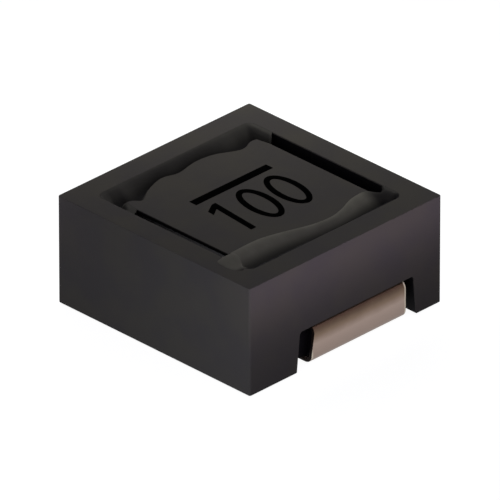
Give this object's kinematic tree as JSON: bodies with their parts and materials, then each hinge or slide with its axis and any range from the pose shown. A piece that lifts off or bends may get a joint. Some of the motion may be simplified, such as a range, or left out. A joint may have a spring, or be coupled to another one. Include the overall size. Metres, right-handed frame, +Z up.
{
  "type": "shielded smd inductor",
  "caption": "Surface-mount power inductor: square ferrite shield round a wound ferrite drum, on a moulded base with folded solder terminals on opposite sides.",
  "frame": {"origin": "centre of the seating plane, at the undersides of the solder pads", "axes": "+Z up from the board, terminals on -Y and +Y, the value marking reads along +X"},
  "size_m": [0.007, 0.007, 0.0032],
  "materials": {
    "ferrite": "fine matt sintered grain",
    "enamelled_wire": "glossy enamel over copper",
    "moulding": "black moulded plastic",
    "adhesive": "cured adhesive film",
    "terminal_plating": "satin tin plating",
    "solder": "smooth solder",
    "resin": "cured black epoxy, satin"
  },
  "bodies": {
    "root": {"shield_core": "ferrite", "drum_core": "ferrite", "winding": "enamelled_wire", "base": "moulding", "drum_bond": "adhesive", "terminal_front": "terminal_plating", "terminal_rear": "terminal_plating", "solder_front": "solder", "solder_rear": "solder", "resin_front": "resin", "resin_rear": "resin", "resin_left": "resin"}
  },
  "joints": []
}
